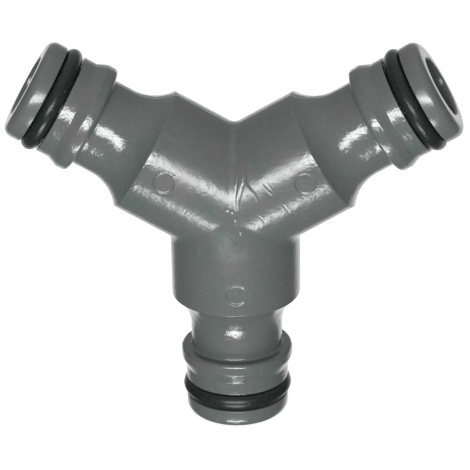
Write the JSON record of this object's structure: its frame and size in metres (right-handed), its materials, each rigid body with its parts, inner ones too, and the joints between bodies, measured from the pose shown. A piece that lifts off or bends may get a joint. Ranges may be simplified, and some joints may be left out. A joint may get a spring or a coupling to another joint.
{
  "type": "hose splitter",
  "caption": "Y-shaped splitter for garden hose with male quick-connect spigots and rubber O-rings, joining a supply hose to two branch hoses.",
  "frame": {"origin": "where the axes of the three waterways meet, in the middle of the body", "axes": "-Z along the inlet, out of its mouth; the outlets lie in the XZ plane at 60 degrees from +Z, the left one towards -X and the right one towards +X; -Y is the front, which carries the ejector-pin marks"},
  "size_m": [0.0698, 0.02, 0.0608],
  "materials": {
    "body_plastic": "mid grey injection-moulded plastic, satin, faintly mottled",
    "seal_rubber": "black moulded rubber, soft sheen"
  },
  "bodies": {
    "root": {"splitter_body": "body_plastic", "inlet_o_ring": "seal_rubber", "left_outlet_o_ring": "seal_rubber", "right_outlet_o_ring": "seal_rubber"}
  },
  "joints": []
}
